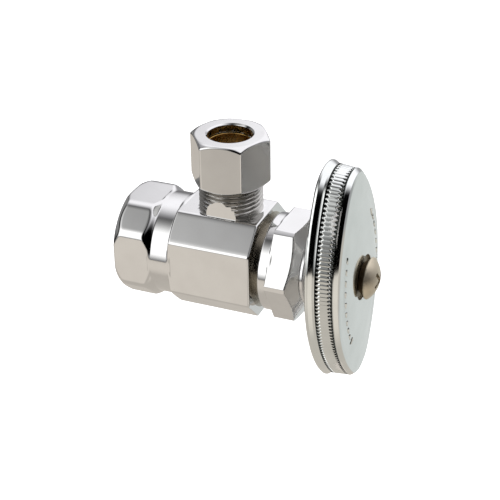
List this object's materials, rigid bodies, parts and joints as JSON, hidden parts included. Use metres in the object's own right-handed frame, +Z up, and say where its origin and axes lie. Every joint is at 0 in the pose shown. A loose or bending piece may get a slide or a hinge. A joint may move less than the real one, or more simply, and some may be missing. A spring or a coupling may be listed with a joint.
{
  "type": "angle stop valve",
  "caption": "Chrome-plated right-angle water stop valve: threaded pipe inlet, compression outlet with hex nut, hex bonnet nut and an oval handle on a rising stem.",
  "frame": {"origin": "centre of the inlet's mouth, where the water pipe enters", "axes": "+X along the body and the stem towards the handle, +Z up along the outlet, so the inlet pipe leaves along -X"},
  "size_m": [0.0591, 0.0312, 0.0571],
  "materials": {
    "polished_chrome": "bright chrome plate over machined brass",
    "cast_chrome": "chrome plate over a die casting, slightly softer shine",
    "brass": "machined, unplated",
    "nickel_screw": "warm nickel plate",
    "seat_rubber": "matt black",
    "graphite_packing": "dull grey-black"
  },
  "bodies": {
    "body": {"valve_body": "polished_chrome", "bonnet_nut": "polished_chrome", "friction_ring": "brass", "stem_packing": "graphite_packing"},
    "washer_carrier": {"seat_washer": "seat_rubber"},
    "stem_and_handle": {"stem": "brass", "seat_washer_screw": "brass", "handle": "cast_chrome", "handle_screw": "nickel_screw"},
    "ferrule_carrier": {"ferrule": "brass"},
    "nut": {"outlet_nut": "polished_chrome"}
  },
  "joints": [
    {"name": "stem_rise", "type": "slide", "parent": "body", "child": "washer_carrier", "axis": [1, 0, 0], "range_m": [0, 0.0036]},
    {"name": "handle_turn", "type": "hinge", "parent": "washer_carrier", "child": "stem_and_handle", "pos_m": [0.05, 0, 0], "axis": [1, 0, 0], "range_deg": [0, 864]},
    {"name": "nut_rise", "type": "slide", "parent": "body", "child": "ferrule_carrier", "axis": [0, 0, 1], "range_m": [0, 0.00344]},
    {"name": "outlet_nut_turn", "type": "hinge", "parent": "ferrule_carrier", "child": "nut", "pos_m": [0.0243, 0, 0.024], "axis": [0, 0, 1], "range_deg": [0, 1170]}
  ],
  "couplings": [
    {"joint": "stem_rise", "follows": "handle_turn", "m_per_rad": 0.00023873},
    {"joint": "nut_rise", "follows": "outlet_nut_turn", "m_per_rad": 0.00016843}
  ]
}
